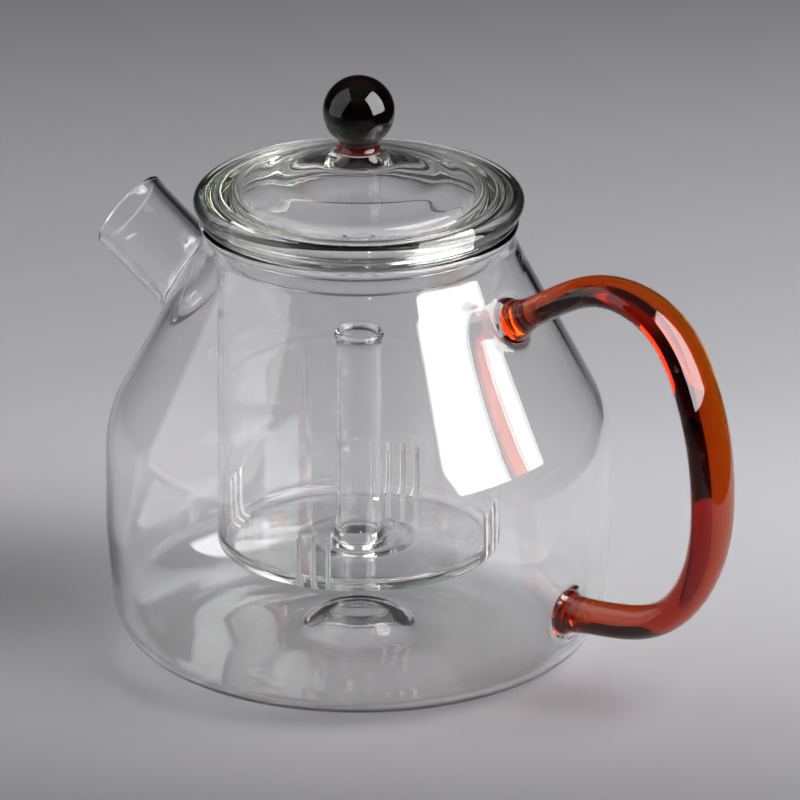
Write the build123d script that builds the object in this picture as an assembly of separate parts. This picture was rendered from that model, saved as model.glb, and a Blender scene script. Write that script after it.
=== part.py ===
from build123d import *
import os
from math import cos, exp, pi, radians, sin, sqrt

# Steaming teapot in borosilicate glass: pot, lift-out infuser with a centre chimney, domed lid.
# Millimetres. Origin at the centre of the standing plane, +Z up, handle towards +X, spout towards -X.

# pot
BODY_R = 70.1
HEEL_R = 67.0
NECK_R = 43.3
WALL = 2.0
WAIST_Z = 36.0
SHOULDER_Z = 66.0
NECK_Z = 118.5
RIM_Z = 124.4
RIM_BEAD = 1.4

# spout, measured along its own axis
SPOUT_R = 11.75
SPOUT_WALL = 1.9
SPOUT_MOUTH = (-75.8, 113.1)
SPOUT_RISE = 36.0
SPOUT_CUT_RISE = 32.0
SPOUT_LENGTH = 46.0
SPOUT_ROOT = 27.0
SPOUT_COLLAR_R = 15.4

# handle rod: centre line in the XZ plane and the arc radius at each inner point,
# then half width along Y and half thickness of its oval at the upper and the lower end
HANDLE_LINE = [(49.0, 104.4), (77.0, 121.7), (101.2, 117.8), (114.5, 84.0), (115.4, 46.0), (99.3, 23.8), (66.0, 22.4)]
HANDLE_ARCS = [20.0, 25.0, 78.0, 48.0, 23.0]
ROD_WIDE = (4.6, 5.4)
ROD_THICK = (4.1, 4.7)
GRIP_WIDER = 4.0
GRIP_THICKER = 0.2
UPPER_FLARE = 2.3
UPPER_FLARE_L = 5.0
LOWER_FLARE = 0.9
LOWER_FLARE_L = 6.0
WELD_R = 8.2
WELD_H = 1.5
UPPER_JOINT = (49.9, 105.2, 27.0)
LOWER_JOINT = (69.1, 22.3, -5.0)

# infuser
CUP_R = 39.1
CUP_WALL = 1.8
CUP_BOTTOM = 29.2
CUP_FLOOR = 2.0
FLANGE_R = 44.2
FLANGE_Z = 125.85
FLANGE_T = 2.0
SLIT_W = 0.6
SLIT_STEP = 6.4
SLIT_REACH = 34.2
SLIT_TOP = 44.3
SLIT_GROUPS = [-77.0, 13.0, 103.0, 193.0]
CHIMNEY_R = 6.4
CHIMNEY_WALL = 1.2
CHIMNEY_TOP = 91.3
CHIMNEY_LIP = 0.9
BOSS_R = 13.9
BOSS_TOP = 34.8

# lid
DOME_R = 130.4
DOME_TOP = 140.0
DOME_WALL = 2.0
EDGE_R = 43.2
EDGE_Z = 130.4
EDGE_BEAD = 2.6
SEAT_Z = 127.9
SKIRT_R = 36.8
SKIRT_WALL = 1.9
SKIRT_BOTTOM = 116.3
COLLAR_R = 24.0
COLLAR_BEND = (9.6, 143.0, 12.0)
COLLAR_TOP = 145.7
STEM_R = 6.9
STEM_NECK_R = 5.8
BALL_R = 10.0
BALL_Z = 156.9


def corners(points):
    """Closed XZ outline from (x, z, radius) corners, each rounded by its own radius."""
    outline = Polyline(*[(x, z) for x, z, _ in points], close=True)
    face = make_face(outline)
    for x, z, radius in points:
        if radius > 0:
            corner = face.vertices().sort_by_distance((x, z, 0))[0]
            face = fillet(corner, radius)
    return face


def spin(face):
    """Solid of revolution of an XZ outline about the vertical axis."""
    return revolve(Plane.XZ * face, Axis.Z)


def pot_outline():
    """Corners of the outer wall of the pot, from the standing ring up."""
    return [
        (0.0, 7.6, 0),
        (8.0, 7.2, 8),
        (14.6, 2.5, 8),
        (24.0, 2.3, 60),
        (44.0, 0.0, 30),
        (HEEL_R, 0.0, 17),
        (BODY_R, WAIST_Z, 60),
        (BODY_R, SHOULDER_Z, 34),
        (46.6, 111.5, 18),
        (NECK_R, NECK_Z, 6),
        (NECK_R, RIM_Z, 0),
    ]


def pot_inside():
    """Corners of the inner wall, from the rim down to the closing mark on the floor."""
    inner = BODY_R - WALL
    return [
        (NECK_R - WALL, RIM_Z, 0),
        (NECK_R - WALL, NECK_Z - 0.3, 7),
        (44.7, 110.6, 16),
        (inner, SHOULDER_Z - 0.5, 32),
        (inner, WAIST_Z, 58),
        (65.0, 2.3, 14),
        (44.3, 2.3, 32),
        (24.4, 4.7, 60),
        (15.6, 5.1, 7),
        (10.2, 10.4, 7),
        (0.0, 10.8, 0),
    ]


def pot_envelope():
    """The pot as a solid block, used to trim what is fused to its outside."""
    return spin(corners(pot_outline() + [(0.0, RIM_Z, 0)]))


def pot_cavity():
    """The space inside the pot."""
    return spin(corners([(0.0, RIM_Z + 30, 0), (NECK_R - WALL, RIM_Z + 30, 0)] + pot_inside()[1:]))


def spout_plane():
    """Plane at the mouth of the spout, its normal along the spout's axis."""
    x, z = SPOUT_MOUTH
    rise = radians(SPOUT_RISE)
    return Plane(origin=(x, 0, z), x_dir=(0, 1, 0), z_dir=(-cos(rise), 0, sin(rise)))


def spout_bar(radius, ahead=12.0):
    """Round bar on the spout's axis, from inside the pot to beyond the mouth."""
    bar = extrude(Circle(radius), amount=SPOUT_LENGTH + ahead)
    return spout_plane().offset(-SPOUT_LENGTH) * bar


def make_pot_body():
    section = corners(pot_outline() + pot_inside())
    bead = Pos(NECK_R - WALL / 2 + 0.5, RIM_Z) * Circle(RIM_BEAD)
    return spin(section + bead) - spout_bar(SPOUT_R)


def make_spout_tube(cavity):
    tube = spout_bar(SPOUT_R) - spout_bar(SPOUT_R - SPOUT_WALL)
    x, z = SPOUT_MOUTH
    cut = radians(SPOUT_CUT_RISE)
    mouth = Plane(origin=(x, 0, z), x_dir=(0, 1, 0), z_dir=(-cos(cut), 0, sin(cut)))
    tube -= mouth * extrude(Rectangle(60, 60), amount=40)
    tube -= cavity
    rims = [e for e in tube.edges() if abs(mouth.to_local_coords(e.center()).Z) < 0.05]
    return fillet(rims, 0.8) if rims else tube


def make_spout_weld(envelope):
    """Glass flowed round the root of the spout, flared down on to the shoulder."""
    flare = ThreePointArc((SPOUT_R + 0.4, 6.0), (SPOUT_R + 1.2, 1.6), (SPOUT_COLLAR_R, -3.4))
    rest = Polyline((SPOUT_COLLAR_R, -3.4), (SPOUT_COLLAR_R, -14), (SPOUT_R, -14), (SPOUT_R, 6.0), (SPOUT_R + 0.4, 6.0))
    ring = spin(make_face(flare + rest))
    return (spout_plane().offset(-SPOUT_ROOT) * ring) - envelope


def handle_path():
    points = [(x, 0, z) for x, z in HANDLE_LINE]
    return FilletPolyline(*points, radius=HANDLE_ARCS)


def rod_section(run, length):
    """Half width and half thickness of the rod at a distance along it: flattened in the grip, flared at both feet."""
    t = run / length
    grip = max(0.0, sin(pi * t)) ** 1.4
    upper = UPPER_FLARE * exp(-((run / UPPER_FLARE_L) ** 2))
    lower = LOWER_FLARE * exp(-(((length - run) / LOWER_FLARE_L) ** 2))
    wide = ROD_WIDE[0] + (ROD_WIDE[1] - ROD_WIDE[0]) * t + GRIP_WIDER * grip
    thick = ROD_THICK[0] + (ROD_THICK[1] - ROD_THICK[0]) * t + GRIP_THICKER * grip
    return wide + upper + lower, thick + upper + lower


def make_handle_rod(envelope):
    path = handle_path()
    length = path.length
    near = [0.0, 2.5, 5.0, 7.5, 10.0, 14.0]
    steps = 22
    middle = [20.0 + (length - 40.0) * k / steps for k in range(steps + 1)]
    rings = []
    for run in near + middle + [length - n for n in reversed(near)]:
        t = run / length
        plane = Plane(origin=path @ t, x_dir=(0, 1, 0), z_dir=path % t)
        rings.append((plane * Ellipse(*rod_section(run, length))).face())
    return loft(rings) - envelope


def make_weld(joint, envelope, rod):
    """Low round gather on the wall round one foot of the handle."""
    x, z, rise = joint
    wall = Plane(origin=(x, 0, z), x_dir=(0, 1, 0), z_dir=(cos(radians(rise)), 0, sin(radians(rise))))
    flank = ThreePointArc((WELD_R, 0), (WELD_R - 0.5, WELD_H * 0.65), (WELD_R - 1.5, WELD_H))
    rest = Polyline((WELD_R - 1.5, WELD_H), (0, WELD_H), (0, -5), (WELD_R, -5), (WELD_R, 0))
    return (wall * spin(make_face(flank + rest))) - envelope - rod


def slit_cutters():
    """Saw cuts through the bottom edge of the infuser: four groups of three."""
    low = CUP_BOTTOM - 2
    deep = CUP_R + 2 - SLIT_REACH
    blade = Pos(SLIT_REACH + deep / 2, 0, (low + SLIT_TOP) / 2) * Box(deep, SLIT_W, SLIT_TOP - low)
    cuts = []
    for group in SLIT_GROUPS:
        for step in (-1, 0, 1):
            cuts.append(Rot(0, 0, group + step * SLIT_STEP) * blade)
    return cuts


def make_infuser_wall(cuts):
    floor_top = CUP_BOTTOM + CUP_FLOOR
    inner = CUP_R - CUP_WALL
    section = corners([(inner, floor_top, 0), (CUP_R, floor_top, 0), (CUP_R, FLANGE_Z, 0), (inner, FLANGE_Z, 0)])
    wall = spin(section)
    for cut in cuts:
        wall -= cut
    return wall


def make_infuser_flange():
    top = FLANGE_Z + FLANGE_T
    return spin(
        corners(
            [
                (CUP_R - CUP_WALL, FLANGE_Z, 0),
                (FLANGE_R, FLANGE_Z, 0.9),
                (FLANGE_R, top, 0.9),
                (CUP_R - CUP_WALL, top, 0.9),
            ]
        )
    )


def make_infuser_floor(cuts):
    top = CUP_BOTTOM + CUP_FLOOR
    floor = spin(corners([(CHIMNEY_R, CUP_BOTTOM, 0), (CUP_R, CUP_BOTTOM, 1.7), (CUP_R, top, 0), (CHIMNEY_R, top, 0)]))
    for cut in cuts:
        floor -= cut
    return floor


def make_chimney_tube():
    inner = CHIMNEY_R - CHIMNEY_WALL
    section = corners(
        [(inner, CUP_BOTTOM, 0), (CHIMNEY_R, CUP_BOTTOM, 0), (CHIMNEY_R, CHIMNEY_TOP, 0), (inner, CHIMNEY_TOP, 0)]
    )
    return spin(section + Pos(CHIMNEY_R - CHIMNEY_WALL / 2 + 0.1, CHIMNEY_TOP) * Circle(CHIMNEY_LIP))


def make_chimney_boss():
    low = CUP_BOTTOM + CUP_FLOOR
    side = ThreePointArc((BOSS_R, low), (CHIMNEY_R + 3.5, low + 1.3), (CHIMNEY_R + 0.3, BOSS_TOP))
    rest = Polyline((CHIMNEY_R + 0.3, BOSS_TOP), (CHIMNEY_R, BOSS_TOP), (CHIMNEY_R, low), (BOSS_R, low))
    return spin(make_face(side + rest))


def dome_z(radius, x):
    """Height of the dome's outer or inner sphere at a distance x from the axis."""
    return DOME_TOP - DOME_R + sqrt(radius**2 - x**2)


def dome_arc(radius, x0, x1):
    mid = (x0 + x1) / 2
    return ThreePointArc((x0, dome_z(radius, x0)), (mid, dome_z(radius, mid)), (x1, dome_z(radius, x1)))


def make_lid_dome():
    outer = dome_arc(DOME_R, 0, EDGE_R)
    inner = dome_arc(DOME_R - DOME_WALL, EDGE_R, 0)
    section = make_face(outer + Line(outer @ 1, inner @ 0) + inner + Line(inner @ 1, outer @ 0))
    edge = Pos(EDGE_R, EDGE_Z) * Circle(EDGE_BEAD)
    edge -= Pos(EDGE_R, SEAT_Z - 2) * Rectangle(8, 4)
    return spin(section + edge)


def make_lid_skirt():
    inner = SKIRT_R - SKIRT_WALL
    ball = DOME_R - DOME_WALL
    return spin(
        corners(
            [
                (inner, SKIRT_BOTTOM, 0.7),
                (SKIRT_R, SKIRT_BOTTOM, 0.7),
                (SKIRT_R, dome_z(ball, SKIRT_R), 0),
                (inner, dome_z(ball, inner), 0),
            ]
        )
    )


def make_knob_collar():
    """Shallow tent of glass that rises from the dome to the knob."""
    x, z, radius = COLLAR_BEND
    base = dome_arc(DOME_R, 0, COLLAR_R)
    rest = Polyline(base @ 1, (x, z), (STEM_R, COLLAR_TOP), (0, COLLAR_TOP), (0, DOME_TOP))
    face = make_face(base + rest)
    bend = face.vertices().sort_by_distance((x, z, 0))[0]
    return spin(fillet(bend, radius))


def make_knob_stem():
    meet = BALL_Z - sqrt(BALL_R**2 - STEM_NECK_R**2)
    side = ThreePointArc((STEM_R, COLLAR_TOP), (STEM_NECK_R + 0.25, 147.4), (STEM_NECK_R, meet))
    cup = ThreePointArc(
        (STEM_NECK_R, meet), (STEM_NECK_R / 2, BALL_Z - sqrt(BALL_R**2 - STEM_NECK_R**2 / 4)), (0, BALL_Z - BALL_R)
    )
    rest = Polyline((0, BALL_Z - BALL_R), (0, COLLAR_TOP), (STEM_R, COLLAR_TOP))
    return spin(make_face(side + cup + rest))


def make_knob_ball():
    return Pos(0, 0, BALL_Z) * Sphere(BALL_R)


def main():
    envelope = pot_envelope()
    cavity = pot_cavity()
    cuts = slit_cutters()
    rod = make_handle_rod(envelope)
    nodes = {
        "pot_body": make_pot_body(),
        "spout_tube": make_spout_tube(cavity),
        "spout_weld_ring": make_spout_weld(envelope),
        "handle_rod": rod,
        "handle_upper_weld": make_weld(UPPER_JOINT, envelope, rod),
        "handle_lower_weld": make_weld(LOWER_JOINT, envelope, rod),
        "infuser_wall": make_infuser_wall(cuts),
        "infuser_flange": make_infuser_flange(),
        "infuser_floor": make_infuser_floor(cuts),
        "chimney_tube": make_chimney_tube(),
        "chimney_boss": make_chimney_boss(),
        "lid_dome": make_lid_dome(),
        "lid_skirt": make_lid_skirt(),
        "knob_collar": make_knob_collar(),
        "knob_stem": make_knob_stem(),
        "knob_ball": make_knob_ball(),
    }
    os.makedirs("parts", exist_ok=True)
    for name, shape in nodes.items():
        export_step(shape, f"parts/{name}.step")
        print(name, round(shape.volume, 1))


main()
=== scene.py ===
import math

import bmesh
import bpy
import numpy as np
from mathutils import Matrix, Vector


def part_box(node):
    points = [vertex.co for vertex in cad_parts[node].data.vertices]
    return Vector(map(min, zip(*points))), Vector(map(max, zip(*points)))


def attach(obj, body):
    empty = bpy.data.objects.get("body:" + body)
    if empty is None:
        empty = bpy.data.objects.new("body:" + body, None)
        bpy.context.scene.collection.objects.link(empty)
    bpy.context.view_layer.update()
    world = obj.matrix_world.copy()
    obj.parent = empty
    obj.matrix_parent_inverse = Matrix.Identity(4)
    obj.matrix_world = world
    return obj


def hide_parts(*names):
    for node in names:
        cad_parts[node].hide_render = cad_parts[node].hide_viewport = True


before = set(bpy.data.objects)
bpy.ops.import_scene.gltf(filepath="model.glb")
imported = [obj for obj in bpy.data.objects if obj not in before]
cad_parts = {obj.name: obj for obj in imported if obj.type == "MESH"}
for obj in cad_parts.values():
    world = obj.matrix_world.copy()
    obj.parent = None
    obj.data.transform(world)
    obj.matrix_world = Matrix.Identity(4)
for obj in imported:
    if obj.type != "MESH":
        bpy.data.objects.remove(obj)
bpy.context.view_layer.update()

MM = 0.001
TAU = 2 * math.pi

# dimensions of the glass in millimetres, as in the CAD model
WALL = 2.0
SPOUT_MOUTH = (-75.8, 113.1)
SPOUT_RISE = math.radians(36)
SPOUT_CUT_RISE = math.radians(32)
SPOUT_R = 11.75
SPOUT_BORE = 9.85
SPOUT_FLARE = 0.3
MOUTH_DROP = 0.9
LIP_SWELL = 0.15
OUTER_FILLET = 3.6
INNER_FILLET = 2.2
HANDLE_LINE = [
    (49.0, 104.4), (77.0, 121.7), (101.2, 117.8), (114.5, 84.0),
    (115.4, 46.0), (99.3, 23.8), (66.0, 22.4)]
HANDLE_ARCS = [20.0, 25.0, 78.0, 48.0, 23.0]
ROD_WIDE = (4.6, 5.4)
ROD_THICK = (4.1, 4.7)
GRIP_WIDER = 4.0
GRIP_THICKER = 0.2
UPPER_FLARE = (2.3, 5.0)
LOWER_FLARE = (0.9, 6.0)
UPPER_JOINT = (49.9, 105.2, 27.0)
LOWER_JOINT = (69.1, 22.3, -5.0)
WELD_R = 8.2
WELD_H = 1.5
WELD_SLOPE = 3.2
CUP_R = 39.1
CUP_INNER = 37.3
CUP_BOTTOM = 29.2
CUP_FLOOR_TOP = 31.2
SLIT_HALF = 0.3
SLIT_FROST = 0.3
SLIT_REACH = 34.2
SLIT_TOP = 44.3
SLIT_TOP_IN = 42.9
SLIT_STEP = 6.4
SLIT_GROUPS = [-77.0, 13.0, 103.0, 193.0]
CHIMNEY_R = 6.4
CHIMNEY_BORE = 5.2
CHIMNEY_TOP = 91.3
CHIMNEY_LIP = 0.95
DOME_R = 130.4
DOME_TOP = 140.0
EDGE_R = 43.2
EDGE_Z = 130.4
SKIRT_R = 36.8
SKIRT_INNER = 34.9
STEM_NECK_R = 5.8
BALL_R = 10.0
BALL_Z = 156.9

# fineness of the pot's mesh: columns round it, half the spout's window and half the feet's, runs of the spout
POT_COLUMNS = 288
PORT_HALF = 20
WELD_COLUMNS = 14
SPOUT_RUNS = 24


# ---------------------------------------------------------------- outlines

def arc(cx, cz, r, a0, a1, n):
    """Points of an arc about (cx, cz), angles in degrees."""
    turns = [math.radians(a0 + (a1 - a0) * k / n) for k in range(n + 1)]
    return [(cx + r * math.cos(t), cz + r * math.sin(t)) for t in turns]


def rounded(corners, step=1.3, turn=5.0):
    """Polyline through (r, z, radius) corners, each rounded, straight runs cut to the given step."""
    pts = [np.array(c[:2], float) for c in corners]
    out = [pts[0]]

    def run_to(p):
        d = np.linalg.norm(p - out[-1])
        n = max(1, int(round(d / step)))
        a = out[-1]
        for k in range(1, n + 1):
            out.append(a + (p - a) * k / n)

    for i in range(1, len(pts) - 1):
        r = corners[i][2]
        b = pts[i]
        u = (pts[i - 1] - b) / np.linalg.norm(pts[i - 1] - b)
        v = (pts[i + 1] - b) / np.linalg.norm(pts[i + 1] - b)
        ang = math.acos(float(np.clip(u @ v, -1, 1)))
        if r <= 0 or abs(ang - math.pi) < 1e-3:
            run_to(b)
            continue
        t = r / math.tan(ang / 2)
        p0, p1 = b + u * t, b + v * t
        cen = b + (u + v) / np.linalg.norm(u + v) * (r / math.sin(ang / 2))
        if np.linalg.norm(p0 - out[-1]) > 1e-4:
            run_to(p0)
        a0 = math.atan2(*(p0 - cen)[::-1])
        a1 = math.atan2(*(p1 - cen)[::-1])
        d = (a1 - a0 + math.pi) % TAU - math.pi
        n = max(2, int(math.ceil(max(abs(math.degrees(d)) / turn, abs(d) * r / step / 1.5))))
        for k in range(1, n + 1):
            th = a0 + d * k / n
            out.append(cen + r * np.array([math.cos(th), math.sin(th)]))
    run_to(pts[-1])
    return [tuple(p) for p in out]


# ---------------------------------------------------------------- meshes

def make_object(name, verts, faces):
    """Smooth object from vertices in millimetres."""
    mesh = bpy.data.meshes.new(name)
    mesh.from_pydata([tuple(float(c) * MM for c in v) for v in verts], [], faces)
    mesh.validate()
    bm = bmesh.new()
    bm.from_mesh(mesh)
    bmesh.ops.remove_doubles(bm, verts=bm.verts, dist=1e-7)
    bmesh.ops.recalc_face_normals(bm, faces=bm.faces)
    bm.to_mesh(mesh)
    bm.free()
    mesh.polygons.foreach_set("use_smooth", [True] * len(mesh.polygons))
    obj = bpy.data.objects.new(name, mesh)
    bpy.context.scene.collection.objects.link(obj)
    return obj


class Lathe:
    """Grid of a profile turned about Z: rows along the profile, columns round the axis."""

    def __init__(self, profile, angles):
        self.verts = []
        self.faces = []
        self.angles = angles
        self.n = len(angles)
        self.rows = []
        for r, z in profile:
            if r < 1e-6:
                self.verts.append((0.0, 0.0, z))
                self.rows.append([len(self.verts) - 1] * self.n)
                continue
            start = len(self.verts)
            for a in angles:
                self.verts.append((r * math.cos(a), r * math.sin(a), z))
            self.rows.append(list(range(start, start + self.n)))

    def quad(self, a, b, c, d):
        loop = []
        for v in (a, b, c, d):
            if v not in loop:
                loop.append(v)
        if len(loop) > 2:
            self.faces.append(loop)

    def bridge(self, loops):
        """Quads between each loop of vertices and the next."""
        for a, b in zip(loops, loops[1:]):
            for k in range(len(a)):
                m = (k + 1) % len(a)
                self.quad(a[k], a[m], b[m], b[k])

    def add_ring(self, points):
        start = len(self.verts)
        self.verts.extend(tuple(p) for p in points)
        return list(range(start, start + len(points)))

    def skin(self, skip=(), closed=False):
        """Quads between the rows; skip holds (row0, row1, col0, col1) windows left open."""
        def is_open(i, j):
            return any(a <= i < b and (j - c) % self.n < (d - c) % self.n for a, b, c, d in skip)

        last = len(self.rows) if closed else len(self.rows) - 1
        for i in range(last):
            k = (i + 1) % len(self.rows)
            for j in range(self.n):
                if is_open(i, j):
                    continue
                m = (j + 1) % self.n
                self.quad(self.rows[i][j], self.rows[i][m], self.rows[k][m], self.rows[k][j])


def even_angles(n):
    return [TAU * k / n for k in range(n)]


# ---------------------------------------------------------------- pot

def pot_profiles():
    """Outside from the floor's middle up to the rim, the rim's bead, and the inside back down."""
    body_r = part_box("pot_body")[1][0] / MM
    outer = rounded([
        (0.0, 7.6, 0), (8.0, 7.2, 8), (14.6, 2.5, 8), (24.0, 2.3, 60), (44.0, 0.0, 30), (67.0, 0.0, 17),
        (body_r, 36.0, 60), (body_r, 66.0, 34), (46.6, 111.5, 18), (43.3, 118.5, 6), (43.3, 122.9, 0)])
    rim = arc(42.8, 124.4, 1.4, -66, 186, 26)
    inner = rounded([
        (41.3, 123.6, 0), (41.3, 118.2, 7), (44.7, 110.6, 16), (body_r - WALL, 65.5, 32),
        (body_r - WALL, 36.0, 58), (65.0, 2.3, 14), (44.3, 2.3, 32), (24.4, 4.7, 60), (15.6, 5.1, 7),
        (10.2, 10.4, 7), (0.0, 10.8, 0)])
    return outer, rim, inner


def radius_table(profile, lo, hi):
    """Radius as a function of height on the rising wall of a profile."""
    pts = sorted({(round(z, 5), r) for r, z in profile if lo <= z <= hi})
    zs = np.array([p[0] for p in pts])
    rs = np.array([p[1] for p in pts])
    return lambda z: np.interp(z, zs, rs)


SPOUT_A = np.array([-math.cos(SPOUT_RISE), 0, math.sin(SPOUT_RISE)])
SPOUT_U = np.array([0.0, 1.0, 0.0])
SPOUT_W = np.array([math.sin(SPOUT_RISE), 0, math.cos(SPOUT_RISE)])
SPOUT_M = np.array([SPOUT_MOUTH[0], 0, SPOUT_MOUTH[1]])


def spout_point(rho, phi, h):
    """Point by radius and angle about the spout's axis, and height along it from the mouth."""
    return SPOUT_M + rho * (math.cos(phi) * SPOUT_W + math.sin(phi) * SPOUT_U) + h * SPOUT_A


def wall_height(rho, phi, radius_at):
    """Distance along the spout's axis, from the mouth, at which a line beside it meets the wall."""
    lo, hi = -48.0, 0.0
    for _ in range(40):
        mid = (lo + hi) / 2
        p = spout_point(rho, phi, mid)
        if math.hypot(p[0], p[1]) < radius_at(p[2]):
            lo = mid
        else:
            hi = mid
    return (lo + hi) / 2


def spout_rings(tube_r, fillet, radius_at, phis, steps):
    """Rings from the wall round the fillet on to the tube, for each angle."""
    rings = []
    for s in range(steps + 1):
        t = math.pi / 2 * s / steps
        rho = tube_r + fillet * (1 - math.sin(t))
        rise = fillet * (1 - math.cos(t))
        rings.append([spout_point(rho, phi, wall_height(rho, phi, radius_at) + rise) for phi in phis])
    return rings


def mouth_height(rho, phi):
    """Height of the tilted mouth plane above the square one."""
    lean = math.tan(SPOUT_RISE - SPOUT_CUT_RISE)
    return lean * rho * math.cos(phi)


def weld_bump(p):
    """Outward swelling of the wall round the feet of the handle."""
    out = 0.0
    for x, z, rise in (UPPER_JOINT, LOWER_JOINT):
        axis = np.array([math.cos(math.radians(rise)), 0, math.sin(math.radians(rise))])
        d = p - np.array([x, 0, z])
        if d @ axis < -8:
            continue
        away = np.linalg.norm(d - (d @ axis) * axis)
        t = min(1.0, max(0.0, (WELD_R + 0.6 - away) / WELD_SLOPE))
        out += WELD_H * t * t * (3 - 2 * t)
    return out


def swell_round_handle(body, profile, count):
    """Push the outer wall out round the feet of the handle."""
    near = WELD_COLUMNS
    for i in range(count):
        a, b = profile[max(0, i - 1)], profile[min(count - 1, i + 1)]
        tr, tz = b[0] - a[0], b[1] - a[1]
        length = math.hypot(tr, tz) or 1
        nr, nz = tz / length, -tr / length
        for j in list(range(near)) + list(range(body.n - near, body.n)):
            v = body.rows[i][j]
            p = np.array(body.verts[v])
            th = body.angles[j]
            normal = np.array([nr * math.cos(th), nr * math.sin(th), nz])
            body.verts[v] = tuple(p + normal * weld_bump(p))


def port_window(profile, first, count, root_z, reach):
    """Rows and columns of the grid that the spout's root takes up."""
    rows = [k for k in range(count) if profile[first + k][1] > 30
            and abs(profile[first + k][1] - root_z - 0.3) < reach * 0.93]
    middle = POT_COLUMNS // 2
    return first + rows[0], first + rows[-1], middle - PORT_HALF, middle + PORT_HALF


def port_edge(window):
    """Grid points round a window, in order."""
    r0, r1, c0, c1 = window
    edge = [(r0, c) for c in range(c0, c1)] + [(r, c1) for r in range(r0, r1)]
    return edge + [(r1, c) for c in range(c1, c0, -1)] + [(r, c0) for r in range(r1, r0, -1)]


def port_loops(body, edge, radius_at, tube_r, fillet, steps, between=4):
    """Loops from a window's edge over the wall and round the fillet on to the tube."""
    ids = [body.rows[r][c] for r, c in edge]
    phis = []
    for v in ids:
        d = np.array(body.verts[v]) - SPOUT_M
        phis.append(math.atan2(d @ SPOUT_U, d @ SPOUT_W))
    rings = spout_rings(tube_r, fillet, radius_at, phis, steps)
    loops = [ids]
    for s in range(1, between + 1):
        f = s / (between + 1)
        points = []
        for v, q in zip(ids, rings[0]):
            p = body.verts[v]
            th0 = math.atan2(p[1], p[0]) % TAU
            th1 = math.atan2(q[1], q[0]) % TAU
            th = th0 + (th1 - th0) * f
            z = p[2] + (q[2] - p[2]) * f
            r = float(radius_at(z))
            points.append((r * math.cos(th), r * math.sin(th), z))
        loops.append(body.add_ring(points))
    for ring in rings:
        loops.append(body.add_ring(ring))
    return loops, phis


def tube_loops(body, radius, phis, fillet, radius_at):
    """Loops along the spout, from its fillet to the tilted mouth, with a slight flare at the end."""
    top = [mouth_height(radius, p) - MOUTH_DROP for p in phis]
    base = [wall_height(radius, p, radius_at) + fillet for p in phis]
    loops = []
    for s in range(1, SPOUT_RUNS + 1):
        f = s / SPOUT_RUNS
        rho = radius + SPOUT_FLARE * f ** 10
        ring = [spout_point(rho, p, b + (t - b) * f) for p, b, t in zip(phis, base, top)]
        loops.append(body.add_ring(ring))
    return loops


def lip_loops(body, phis):
    """Loops over the rounded edge of the spout's mouth."""
    middle = (SPOUT_R + SPOUT_BORE) / 2 + SPOUT_FLARE
    half = (SPOUT_R - SPOUT_BORE) / 2
    loops = []
    for s in range(1, 10):
        t = math.pi * s / 10
        rho = middle + (half + LIP_SWELL * math.sin(t)) * math.cos(t)
        rise = half * math.sin(t) - MOUTH_DROP
        loops.append(body.add_ring([spout_point(rho, p, mouth_height(rho, p) + rise) for p in phis]))
    return loops


def make_pot():
    outer, rim, inner = pot_profiles()
    profile = outer + rim + inner
    body = Lathe(profile, even_angles(POT_COLUMNS))
    ports = []
    for first, part, tube_r, fillet in (
            (0, outer, SPOUT_R, OUTER_FILLET), (len(outer) + len(rim), inner, SPOUT_BORE, INNER_FILLET)):
        radius_at = radius_table(part, 30, 122)
        root = spout_point(0, 0, wall_height(0, 0, radius_at))
        window = port_window(profile, first, len(part), root[2], tube_r + fillet + 2.6)
        ports.append((window, radius_at, tube_r, fillet))
    swell_round_handle(body, profile, len(outer))
    body.skin(skip=[port[0] for port in ports])
    loops_out, phi_out = port_loops(body, port_edge(ports[0][0]), *ports[0][1:], steps=9)
    loops_in, phi_in = port_loops(body, port_edge(ports[1][0]), *ports[1][1:], steps=7)
    tube = tube_loops(body, SPOUT_R, phi_out, OUTER_FILLET, ports[0][1])
    lip = lip_loops(body, phi_out)
    body.bridge(loops_out + tube + lip)
    bore = tube_loops(body, SPOUT_BORE, phi_in, INNER_FILLET, ports[1][1])
    body.bridge(loops_in + bore)
    zip_rings(body, lip[-1], phi_out, bore[-1], phi_in)
    return make_object("pot_glass", body.verts, body.faces)


def zip_rings(body, ring_a, phi_a, ring_b, phi_b):
    """Triangles between two rings with different numbers of points, matched by angle."""
    def ordered(ring, phis):
        pairs = sorted((p % TAU, v) for p, v in zip(phis, ring))
        return [p for p, _ in pairs], [v for _, v in pairs]
    pa, va = ordered(ring_a, phi_a)
    pb, vb = ordered(ring_b, phi_b)
    i = j = 0
    na, nb = len(va), len(vb)
    while i < na or j < nb:
        next_a = pa[i + 1] if i + 1 < na else pa[0] + TAU
        next_b = pb[j + 1] if j + 1 < nb else pb[0] + TAU
        if j >= nb or (i < na and next_a <= next_b):
            body.faces.append([va[i % na], va[(i + 1) % na], vb[j % nb]])
            i += 1
        else:
            body.faces.append([va[i % na], vb[(j + 1) % nb], vb[j % nb]])
            j += 1


# ---------------------------------------------------------------- infuser

def slit_centres():
    return [(group + step * SLIT_STEP) % 360 for group in SLIT_GROUPS for step in (-1, 0, 1)]


def infuser_angles():
    """Columns with four of them at every slit: its two edges and the frosted strip outside each."""
    half = math.degrees(SLIT_HALF / CUP_R)
    strip = math.degrees((SLIT_HALF + SLIT_FROST) / CUP_R)
    edges = []
    for centre in slit_centres():
        edges += [(centre + d) % 360 for d in (-strip, -half, half, strip)]
    edges.sort()
    out = []
    slits = []
    for a, b in zip(edges, edges[1:] + [edges[0] + 360]):
        width = b - a
        if abs(width - 2 * half) < 1e-6:
            slits.append(len(out))
        n = max(1, int(round(width / 1.6)))
        out += [math.radians(a + width * k / n) for k in range(n)]
    return out, slits


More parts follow.
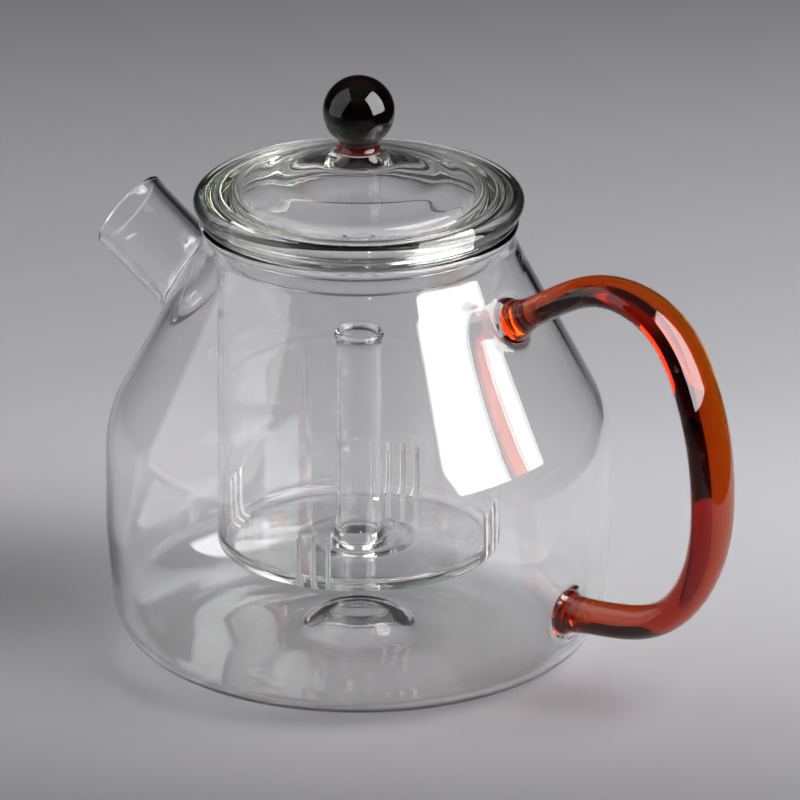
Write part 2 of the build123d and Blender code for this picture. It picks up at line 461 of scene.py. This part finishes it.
def even_run(corners, count):
    """Rounded outline cut into a given number of equal steps."""
    pts = np.array(rounded(corners, step=0.2, turn=4.0))
    gaps = np.r_[0, np.cumsum(np.linalg.norm(np.diff(pts, axis=0), axis=1))]
    s = np.linspace(0, gaps[-1], count + 1)
    return [tuple(p) for p in np.c_[np.interp(s, gaps, pts[:, 0]), np.interp(s, gaps, pts[:, 1])]]


def make_infuser():
    flange_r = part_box("infuser_flange")[1][0] / MM
    under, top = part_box("infuser_flange")[0][2] / MM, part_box("infuser_flange")[1][2] / MM
    cut_rows = 26
    bottom = rounded([
        (CHIMNEY_BORE, 30.2, 0), (CHIMNEY_BORE, CUP_BOTTOM, 0.6), (SLIT_REACH, CUP_BOTTOM, 0)], step=2.0)
    cut_out = even_run([
        (SLIT_REACH, CUP_BOTTOM, 0), (CUP_R, CUP_BOTTOM, 3.0), (CUP_R, SLIT_TOP, 0)], cut_rows)
    wall = rounded([
        (CUP_R, SLIT_TOP, 0), (CUP_R, under, 1.1), (flange_r, under, 0.9), (flange_r, top, 0.9),
        (CUP_INNER, top, 0.9), (CUP_INNER, SLIT_TOP_IN, 0)], step=2.4, turn=12)
    cut_in = even_run([
        (CUP_INNER, SLIT_TOP_IN, 0), (CUP_INNER, CUP_FLOOR_TOP, 3.0),
        (SLIT_REACH, CUP_FLOOR_TOP, 0)], cut_rows)
    floor = rounded([
        (SLIT_REACH, CUP_FLOOR_TOP, 0), (15.8, CUP_FLOOR_TOP, 3.0), (13.2, CUP_FLOOR_TOP + 0.5, 2.5),
        (10.8, CUP_FLOOR_TOP + 0.3, 2.5), (CHIMNEY_R + 1.0, CUP_FLOOR_TOP + 0.7, 1.5),
        (CHIMNEY_R, CUP_FLOOR_TOP + 3.0, 2.0), (CHIMNEY_R, CHIMNEY_TOP - 1.0, 0)], step=2.4, turn=9)
    lip_mid = (CHIMNEY_R + CHIMNEY_BORE) / 2 + 0.1
    lip = arc(lip_mid, CHIMNEY_TOP, CHIMNEY_LIP, -42, 222, 14)
    bore = rounded([(CHIMNEY_BORE, CHIMNEY_TOP - 1.0, 0), (CHIMNEY_BORE, 30.2, 0)], step=3.0)[:-1]
    profile = bottom[:-1] + cut_out + wall[1:-1] + cut_in + floor[1:] + lip + bore
    first_out = len(bottom) - 1
    first_in = first_out + len(cut_out) + len(wall) - 2
    angles, slits = infuser_angles()
    cup = Lathe(profile, angles)
    skip = []
    for c in slits:
        skip.append((first_out, first_out + cut_rows, c, (c + 1) % cup.n))
        skip.append((first_in, first_in + cut_rows, c, (c + 1) % cup.n))
    cup.skin(skip=skip, closed=True)
    for c in slits:
        d = (c + 1) % cup.n
        outs = cup.rows[first_out:first_out + cut_rows + 1]
        ins = cup.rows[first_in:first_in + cut_rows + 1][::-1]
        for k in range(cut_rows):
            for side in (c, d):
                cup.quad(outs[k][side], outs[k + 1][side], ins[k + 1][side], ins[k][side])
        for k in (0, cut_rows):
            cup.quad(outs[k][c], outs[k][d], ins[k][d], ins[k][c])
    obj = make_object("infuser_glass", cup.verts, cup.faces)
    obj.data.materials.append(cup_mat)
    obj.data.materials.append(sawn_mat)
    frost_slits(obj)
    obj.data.set_sharp_from_angle(angle=math.radians(35))
    return obj


def frost_slits(obj):
    """Give the sawn faces and the strips beside them the frosted glass."""
    centres = [math.radians(c) for c in slit_centres()]
    reach = (SLIT_HALF + SLIT_FROST) * MM * 1.05
    for face in obj.data.polygons:
        c = face.center
        r = math.hypot(c.x, c.y)
        if r < SLIT_REACH * MM or c.z > SLIT_TOP * MM:
            continue
        turn = math.atan2(c.y, c.x)
        if min(abs((turn - a + math.pi) % TAU - math.pi) for a in centres) * r < reach:
            face.material_index = 1


# ---------------------------------------------------------------- lid

def dome_z(radius, r):
    """Height of the dome, or of its underside, at a distance from the axis."""
    return DOME_TOP - DOME_R + math.sqrt(radius ** 2 - r ** 2)


def make_lid():
    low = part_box("lid_skirt")[0][2] / MM
    collar_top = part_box("knob_collar")[1][2] / MM
    inner_ball = DOME_R - 2.0
    collar = rounded([
        (0, collar_top, 0), (6.9, collar_top, 0.2), (9.6, 143.0, 12), (24.0, dome_z(DOME_R, 24.0), 25),
        (27.0, dome_z(DOME_R, 27.0), 0)], step=1.2)
    dome = [(r, dome_z(DOME_R, r)) for r in np.linspace(27.0, 41.8, 13)[1:]]
    edge = arc(EDGE_R, EDGE_Z, 2.6, 88, -158, 44)
    roof = rounded([
        (*edge[-1], 0), (40.0, dome_z(inner_ball, 40.0) + 0.1, 1.6),
        (SKIRT_R, dome_z(inner_ball, SKIRT_R) - 0.05, 1.6), (SKIRT_R, low, 0.9),
        (SKIRT_INNER, low, 0.9), (SKIRT_INNER, dome_z(inner_ball, SKIRT_INNER), 4.5),
        (22.0, dome_z(inner_ball, 22.0), 80), (7.4, 141.3, 5), (0, 143.2, 0)], step=1.6, turn=6)
    profile = collar + dome + edge + roof[1:]
    lid = Lathe(profile, even_angles(256))
    lid.skin()
    return make_object("lid_glass", lid.verts, lid.faces)


def make_knob():
    foot = 145.45
    meet = BALL_Z - math.sqrt(BALL_R ** 2 - STEM_NECK_R ** 2)
    start = math.degrees(math.atan2(meet - BALL_Z, STEM_NECK_R))
    stem = rounded([(0, foot, 0), (6.85, foot, 0.7), (5.4, 147.2, 1.4), (STEM_NECK_R, meet, 0)], step=0.5)
    ball = arc(0, BALL_Z, BALL_R, start, 90, 46)
    ball[-1] = (0.0, BALL_Z + BALL_R)
    knob = Lathe(stem[:-1] + ball, even_angles(128))
    knob.skin()
    return make_object("knob_glass", knob.verts, knob.faces)


# ---------------------------------------------------------------- handle

def handle_centre(count=150):
    """Even points along the rod's centre line, its corners eased a little further than the arcs."""
    corners = [(x, z, r) for (x, z), r in zip(HANDLE_LINE, [0] + HANDLE_ARCS + [0])]
    line = rounded(corners, step=0.8, turn=2.0)
    pts = np.array(line)
    gaps = np.r_[0, np.cumsum(np.linalg.norm(np.diff(pts, axis=0), axis=1))]
    length = gaps[-1]
    s = np.linspace(0, length, count)
    pts = np.c_[np.interp(s, gaps, pts[:, 0]), np.interp(s, gaps, pts[:, 1])]
    for _ in range(60):
        pts[1:-1] = pts[1:-1] * 0.5 + (pts[:-2] + pts[2:]) * 0.25
    return pts, s, length


def rod_section(run, length):
    """Half width (along Y) and half thickness of the rod's oval at a distance along it."""
    t = run / length
    flare = 0.0
    for (rise, reach), away in ((UPPER_FLARE, run), (LOWER_FLARE, length - run)):
        flare += rise * math.exp(-((away / reach) ** 2))
    grip = max(0.0, math.sin(math.pi * t)) ** 1.4
    wide = ROD_WIDE[0] + (ROD_WIDE[1] - ROD_WIDE[0]) * t + GRIP_WIDER * grip
    thick = ROD_THICK[0] + (ROD_THICK[1] - ROD_THICK[0]) * t + GRIP_THICKER * grip
    return wide + flare, thick + flare


def make_handle(segments=72, cap_rings=6, cap_rise=0.5):
    pts, runs, length = handle_centre()
    verts, faces = [], []
    count = len(pts)

    def band(lower, upper):
        for k in range(segments):
            m = (k + 1) % segments
            faces.append([lower[k], lower[m], upper[m], upper[k]])

    def ring_ids(start):
        return list(range(start, start + segments))

    for i in range(count):
        a, b = pts[max(0, i - 1)], pts[min(count - 1, i + 1)]
        t = (b - a) / np.linalg.norm(b - a)
        normal = np.array([-t[1], t[0]])
        wide, thick = rod_section(runs[i], length)
        for k in range(segments):
            ang = TAU * k / segments
            off = thick * math.cos(ang)
            verts.append((pts[i][0] + normal[0] * off, wide * math.sin(ang), pts[i][1] + normal[1] * off))
    for i in range(count - 1):
        band(ring_ids(i * segments), ring_ids((i + 1) * segments))
    # low rounded ends, hidden in the welds
    for i, beside in ((0, 1), (count - 1, count - 2)):
        t = (pts[i] - pts[beside]) / np.linalg.norm(pts[i] - pts[beside])
        along = np.array([t[0], 0, t[1]])
        centre = np.array([pts[i][0], 0, pts[i][1]])
        previous = ring_ids(i * segments)
        for s in range(1, cap_rings + 1):
            f = 1 - s / (cap_rings + 1)
            start = len(verts)
            for k in range(segments):
                v = np.array(verts[i * segments + k])
                verts.append(tuple(centre + (v - centre) * f + along * cap_rise * (1 - f * f)))
            ring = ring_ids(start)
            band(previous, ring)
            previous = ring
        verts.append(tuple(centre + along * cap_rise))
        tip = len(verts) - 1
        for k in range(segments):
            faces.append([previous[k], previous[(k + 1) % segments], tip])
    return make_object("handle_glass", verts, faces)


# ---------------------------------------------------------------- materials

def new_material(name):
    mat = bpy.data.materials.new(name)
    mat.use_nodes = True
    nodes = mat.node_tree.nodes
    shader = nodes["Principled BSDF"]
    return mat, nodes, mat.node_tree.links, shader


def add_ripple(nodes, links, shader, scale, stretch, strength, distance):
    """Faint waviness of hot-worked glass, as bump."""
    coords = nodes.new("ShaderNodeTexCoord")
    mapping = nodes.new("ShaderNodeMapping")
    mapping.inputs["Scale"].default_value = stretch
    noise = nodes.new("ShaderNodeTexNoise")
    noise.inputs["Scale"].default_value = scale
    noise.inputs["Detail"].default_value = 1.5
    noise.inputs["Roughness"].default_value = 0.4
    bump = nodes.new("ShaderNodeBump")
    bump.inputs["Strength"].default_value = strength
    bump.inputs["Distance"].default_value = distance
    links.new(coords.outputs["Object"], mapping.inputs["Vector"])
    links.new(mapping.outputs["Vector"], noise.inputs["Vector"])
    links.new(noise.outputs["Fac"], bump.inputs["Height"])
    links.new(bump.outputs["Normal"], shader.inputs["Normal"])


def glass(name, tint, density, ripple, roughness=0.0, ior=1.473):
    """Refracting glass with an absorption colour and density, and a ripple."""
    mat, nodes, links, shader = new_material(name)
    shader.inputs["Base Color"].default_value = (1, 1, 1, 1)
    shader.inputs["Roughness"].default_value = roughness
    shader.inputs["IOR"].default_value = ior
    shader.inputs["Transmission Weight"].default_value = 1.0
    absorb = nodes.new("ShaderNodeVolumeAbsorption")
    absorb.inputs["Color"].default_value = (*tint, 1)
    absorb.inputs["Density"].default_value = density
    links.new(absorb.outputs["Volume"], nodes["Material Output"].inputs["Volume"])
    add_ripple(nodes, links, shader, *ripple)
    return mat


pot_mat = glass(
    "pot_clear_glass", (0.86, 0.93, 0.86), 14.0,
    ripple=(16, (1, 1, 0.6), 0.25, 0.0012))
cup_mat = glass(
    "tube_clear_glass", (0.90, 0.94, 0.89), 12.0,
    ripple=(22, (1, 1, 0.12), 0.18, 0.0008))
lid_mat = glass(
    "lid_clear_glass", (0.90, 0.94, 0.76), 22.0,
    ripple=(26, (1, 1, 1), 0.3, 0.0014))
amber_mat = glass(
    "amber_glass", (0.941, 0.705, 0.25), 900.0,
    ripple=(20, (1, 1, 1), 0.12, 0.001), ior=1.53)
knob_mat = glass(
    "dark_amber_glass", (0.85, 0.30, 0.18), 1800.0,
    ripple=(20, (1, 1, 1), 0.06, 0.001))
sawn_mat = glass(
    "sawn_glass", (0.96, 0.96, 0.96), 8.0,
    ripple=(900, (1, 1, 1), 0.6, 0.0004), roughness=0.55)
sawn_mat.node_tree.nodes["Principled BSDF"].inputs["Transmission Weight"].default_value = 0.05

pot = make_pot()
cup = make_infuser()
lid = make_lid()
knob = make_knob()
handle = make_handle()
for obj, mat in ((pot, pot_mat), (lid, lid_mat), (knob, knob_mat), (handle, amber_mat)):
    obj.data.materials.append(mat)

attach(pot, "pot")
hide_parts("pot_body", "spout_tube", "spout_weld_ring", "handle_upper_weld", "handle_lower_weld")
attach(handle, "pot")
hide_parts("handle_rod")
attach(cup, "infuser")
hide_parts("infuser_wall", "infuser_flange", "infuser_floor", "chimney_tube", "chimney_boss")
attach(lid, "lid")
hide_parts("lid_dome", "lid_skirt", "knob_collar")
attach(knob, "lid")
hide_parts("knob_stem", "knob_ball")

# ---------------------------------------------------------------- studio

CAMERA_AZIMUTH = math.radians(32)
CAMERA_RISE = math.radians(21.1)
CAMERA_AWAY = 9.0
# a hair below the glass, so that light passes under the standing ring
FLOOR_Z = -0.0004
FLOOR_HALF = 6.0
# painted pool of light: tone of the paper by the distance beyond the pot's centre, in metres, brightest just
# behind the pot in place of the studio light's fall-off
FLOOR_NEAR, FLOOR_FAR = -0.4, 0.8
PAINTED_POOL_TONES = [
    (-0.30, 0.10), (-0.12, 0.145), (-0.04, 0.255), (0.04, 0.33), (0.12, 0.40), (0.20, 0.335),
    (0.30, 0.325), (0.40, 0.30), (0.50, 0.225), (0.60, 0.15), (0.78, 0.08)]
# the shade to the left of the pot: centre to the right and beyond, half width and half depth, darkest part
SHADE_AT = (-0.11, 0.045)
SHADE_SIZE = (0.13, 0.085)
SHADE_TONE = 0.62
TO_CAMERA = Vector((math.sin(CAMERA_AZIMUTH), -math.cos(CAMERA_AZIMUTH), 0))
RIGHT = Vector((math.cos(CAMERA_AZIMUTH), math.sin(CAMERA_AZIMUTH), 0))
UP = Vector((0, 0, 1))


def studio(right, toward, up):
    """Point given to the camera's right, towards the camera and up, in metres."""
    return RIGHT * right + TO_CAMERA * toward + UP * up


def flat_sheet(name, corners):
    mesh = bpy.data.meshes.new(name)
    mesh.from_pydata(corners, [], [(0, 1, 2, 3)])
    obj = bpy.data.objects.new(name, mesh)
    bpy.context.scene.collection.objects.link(obj)
    return obj


def make_floor():
    """Paper with a painted pool of light, its tone changing with the distance behind the pot, and a painted
    soft shade to its left.
    """
    s = FLOOR_HALF
    obj = flat_sheet("floor", [(-s, -s, FLOOR_Z), (s, -s, FLOOR_Z), (s, s, FLOOR_Z), (-s, s, FLOOR_Z)])
    mat, nodes, links, shader = new_material("floor_paper")
    shader.inputs["Roughness"].default_value = 0.75
    place = nodes.new("ShaderNodeNewGeometry")
    turn = nodes.new("ShaderNodeVectorRotate")
    turn.rotation_type = "Z_AXIS"
    turn.inputs["Angle"].default_value = -CAMERA_AZIMUTH
    links.new(place.outputs["Position"], turn.inputs["Vector"])
    split = nodes.new("ShaderNodeSeparateXYZ")
    links.new(turn.outputs["Vector"], split.inputs["Vector"])
    depth = nodes.new("ShaderNodeMapRange")
    depth.inputs["From Min"].default_value = FLOOR_NEAR
    depth.inputs["From Max"].default_value = FLOOR_FAR
    links.new(split.outputs["Y"], depth.inputs["Value"])
    ramp = nodes.new("ShaderNodeValToRGB")
    ramp.color_ramp.interpolation = "B_SPLINE"
    while len(ramp.color_ramp.elements) > 1:
        ramp.color_ramp.elements.remove(ramp.color_ramp.elements[-1])
    # painted pool of light: the paper's tone set by its distance behind the pot
    for k, (at, tone) in enumerate(PAINTED_POOL_TONES):
        position = (at - FLOOR_NEAR) / (FLOOR_FAR - FLOOR_NEAR)
        e = ramp.color_ramp.elements[0] if k == 0 else ramp.color_ramp.elements.new(position)
        e.position = position
        e.color = (tone, tone * 0.985, tone * 1.03, 1)
    links.new(depth.outputs["Result"], ramp.inputs["Fac"])
    offset = nodes.new("ShaderNodeVectorMath")
    offset.operation = "MULTIPLY_ADD"
    offset.inputs[1].default_value = (1 / SHADE_SIZE[0], 1 / SHADE_SIZE[1], 0)
    offset.inputs[2].default_value = (-SHADE_AT[0] / SHADE_SIZE[0], -SHADE_AT[1] / SHADE_SIZE[1], 0)
    links.new(turn.outputs["Vector"], offset.inputs[0])
    away = nodes.new("ShaderNodeVectorMath")
    away.operation = "LENGTH"
    links.new(offset.outputs["Vector"], away.inputs[0])
    shade = nodes.new("ShaderNodeMapRange")
    shade.interpolation_type = "SMOOTHSTEP"
    shade.inputs["To Min"].default_value = SHADE_TONE
    links.new(away.outputs["Value"], shade.inputs["Value"])
    shaded = nodes.new("ShaderNodeVectorMath")
    shaded.operation = "SCALE"
    links.new(ramp.outputs["Color"], shaded.inputs[0])
    links.new(shade.outputs["Result"], shaded.inputs["Scale"])
    links.new(shaded.outputs["Vector"], shader.inputs["Base Color"])
    obj.data.materials.append(mat)


def panel(name, centre, width, height, aim_normal, side, energy):
    """Rectangular area light with a given normal and horizontal side."""
    light = bpy.data.lights.new(name, "AREA")
    light.shape = "RECTANGLE"
    light.size = width
    light.size_y = height
    light.energy = energy
    obj = bpy.data.objects.new(name, light)
    z = -aim_normal.normalized()
    x = (side - side.dot(z) * z).normalized()
    y = z.cross(x)
    rot = Matrix((x, y, z)).transposed()
    obj.matrix_world = Matrix.Translation(centre) @ rot.to_4x4()
    bpy.context.scene.collection.objects.link(obj)


def quad_light(name, corners, radiance):
    """Area light spanned by three corners: front low, back low, front top."""
    a, b, c = corners
    w, h = b - a, c - a
    normal = w.cross(h).normalized()
    centre = a + w / 2 + h / 2
    target = Vector((0, 0, 0.07))
    if normal.dot(target - centre) < 0:
        normal = -normal
    energy = radiance * math.pi * w.length * h.length
    panel(name, centre, w.length, h.length, normal, w, energy)


def camera_lamp(centre, target, size, radiance):
    """Small round lamp near the camera."""
    light = bpy.data.lights.new("camera_lamp", "AREA")
    light.shape = "DISK"
    light.size = size
    light.energy = radiance * math.pi * math.pi * (size / 2) ** 2
    obj = bpy.data.objects.new("camera_lamp", light)
    turn = (target - centre).to_track_quat("-Z", "Y").to_matrix().to_4x4()
    obj.matrix_world = Matrix.Translation(centre) @ turn
    bpy.context.scene.collection.objects.link(obj)


make_floor()

# a tall softbox to the right, its lower edge raised off the table, and a weak one to the left
KEY_SIZE = 0.95
KEY_TONE = 9.0
KEY_RAISED = 0.2
FILL_TONE = 1.1
LAMP_TONE = 35
LAMP_SIZE = 0.05
key_near = studio(0.758, 0.652, 0.0) * KEY_SIZE
key_far = studio(1.0215, -0.017, 0.0) * KEY_SIZE
key_top = studio(0.30, 0.53, 0.99) * KEY_SIZE
key_lift = (key_top - key_near) * KEY_RAISED
key_near, key_far = key_near + key_lift, key_far + key_lift
quad_light("key_softbox", (key_near, key_far, key_top), KEY_TONE)
fill_near = studio(-0.831, 0.556, 0.0)
fill_far = studio(-0.843, -0.229, 0.0)
fill_top = studio(-0.402, 0.506, 1.02)
quad_light("fill_softbox", (fill_near, fill_far, fill_top), FILL_TONE)
camera_lamp(studio(0.125, 0.94, 0.32) * 1.2, Vector((0, 0, 0.1)), LAMP_SIZE, LAMP_TONE)

# strength of the room: near the horizon, overhead, overhead in plain reflections, low behind the pot
# and where that last glow starts and is full, as the cosine of the angle from its middle
WORLD_LOW = 0.02
WORLD_HIGH = 0.4
WORLD_SEEN = 0.12
WORLD_BEHIND = 0.02
BEHIND_EDGE = 0.3
BEHIND_FULL = 0.7


def make_world():
    """Dark room, a pale ceiling and pale paper low behind the pot."""
    world = bpy.data.worlds.new("studio")
    bpy.context.scene.world = world
    world.use_nodes = True
    nodes, links = world.node_tree.nodes, world.node_tree.links
    coords = nodes.new("ShaderNodeTexCoord")

    def band(axis, start, stop, tone_start, tone_stop):
        dot = nodes.new("ShaderNodeVectorMath")
        dot.operation = "DOT_PRODUCT"
        dot.inputs[1].default_value = axis
        step = nodes.new("ShaderNodeMapRange")
        step.interpolation_type = "SMOOTHSTEP"
        limits = ("From Min", "From Max", "To Min", "To Max")
        for name, value in zip(limits, (start, stop, tone_start, tone_stop)):
            step.inputs[name].default_value = value
        links.new(coords.outputs["Generated"], dot.inputs[0])
        links.new(dot.outputs["Value"], step.inputs["Value"])
        return step.outputs["Result"], step.inputs["To Max"]

    # plain reflections see a darker ceiling than the floor and the inside of the glass
    path = nodes.new("ShaderNodeLightPath")
    bright = nodes.new("ShaderNodeMath")
    bright.operation = "MAXIMUM"
    links.new(path.outputs["Is Diffuse Ray"], bright.inputs[0])
    links.new(path.outputs["Transmission Depth"], bright.inputs[1])
    ceiling = nodes.new("ShaderNodeMapRange")
    ceiling.inputs["To Min"].default_value = WORLD_SEEN
    ceiling.inputs["To Max"].default_value = WORLD_HIGH
    links.new(bright.outputs["Value"], ceiling.inputs["Value"])
    overhead, overhead_top = band((0, 0, 1), 0.45, 0.9, WORLD_LOW, WORLD_HIGH)
    links.new(ceiling.outputs["Result"], overhead_top)
    behind, _ = band(tuple(UP * 0.35 - TO_CAMERA), BEHIND_EDGE, BEHIND_FULL, 0.0, WORLD_BEHIND)
    tone = nodes.new("ShaderNodeMath")
    tone.operation = "MAXIMUM"
    links.new(overhead, tone.inputs[0])
    links.new(behind, tone.inputs[1])
    links.new(tone.outputs["Value"], nodes["Background"].inputs["Strength"])
    nodes["Background"].inputs["Color"].default_value = (1.0, 1.0, 1.05, 1)


make_world()


def black_card(name, left, right, near, far, height, depth, reach):
    """Black stage card that paints darkness into reflections and refractions, seen only by rays that crossed
    a given number of glass surfaces, within a reach.
    """
    lift = Vector((0, 0, height))
    corners = [(left, near), (right, near), (right, far), (left, far)]
    obj = flat_sheet(name, [studio(x, y, 0) + lift for x, y in corners])
    mat, nodes, links, shader = new_material(name)
    # near-black: painted darkness for the reflections and refractions that see this sheet
    shader.inputs["Base Color"].default_value = (0.006, 0.006, 0.006, 1)
    shader.inputs["Roughness"].default_value = 0.9
    shader.inputs["Specular IOR Level"].default_value = 0.1
    path = nodes.new("ShaderNodeLightPath")
    seen = nodes.new("ShaderNodeMath")
    seen.operation = "COMPARE"
    seen.inputs[1].default_value = depth
    seen.inputs[2].default_value = reach
    clear = nodes.new("ShaderNodeBsdfTransparent")
    mix = nodes.new("ShaderNodeMixShader")
    links.new(path.outputs["Transmission Depth"], seen.inputs[0])
    links.new(seen.outputs["Value"], mix.inputs["Fac"])
    links.new(clear.outputs["BSDF"], mix.inputs[1])
    links.new(shader.outputs["BSDF"], mix.inputs[2])
    links.new(mix.outputs["Shader"], nodes["Material Output"].inputs["Surface"])
    obj.data.materials.append(mat)
    obj.visible_camera = False
    obj.visible_diffuse = False
    obj.visible_shadow = False


# painted darkness standing in for the dark room, seen in reflections and refractions: to the right of the
# paper, and behind it for rays through the solid handle alone
black_card("painted_dark_near", 0.275, 1.5, 0.5, -1.2, 0.001, 0.0, 2.5)
black_card("painted_dark_far", 0.045, 1.5, -0.26, -2.5, 0.0008, 2.0, 0.5)

# ---------------------------------------------------------------- camera

camera_data = bpy.data.cameras.new("camera")
camera = bpy.data.objects.new("camera", camera_data)
bpy.context.scene.collection.objects.link(camera)
bpy.context.scene.camera = camera
# width of the view at the pot's axis, in metres
FRAME_WIDTH = 0.22136
SENSOR = 36.0
camera_data.sensor_width = SENSOR
camera_data.lens = SENSOR * CAMERA_AWAY / FRAME_WIDTH
camera_data.clip_end = 100
aim = Vector((0, 0, 0.0715)) + RIGHT * 0.01134
back = TO_CAMERA * math.cos(CAMERA_RISE) + UP * math.sin(CAMERA_RISE)
camera_turn = (-back).to_track_quat("-Z", "Y").to_matrix().to_4x4()
camera.matrix_world = Matrix.Translation(aim + back * CAMERA_AWAY) @ camera_turn

scene = bpy.context.scene
scene.cycles.max_bounces = 32
scene.cycles.transmission_bounces = 32
scene.cycles.transparent_max_bounces = 32
scene.cycles.glossy_bounces = 12
scene.cycles.use_denoising = True
scene.cycles.blur_glossy = 0.0
scene.cycles.sample_clamp_indirect = 0.0
scene.view_settings.view_transform = "Standard"
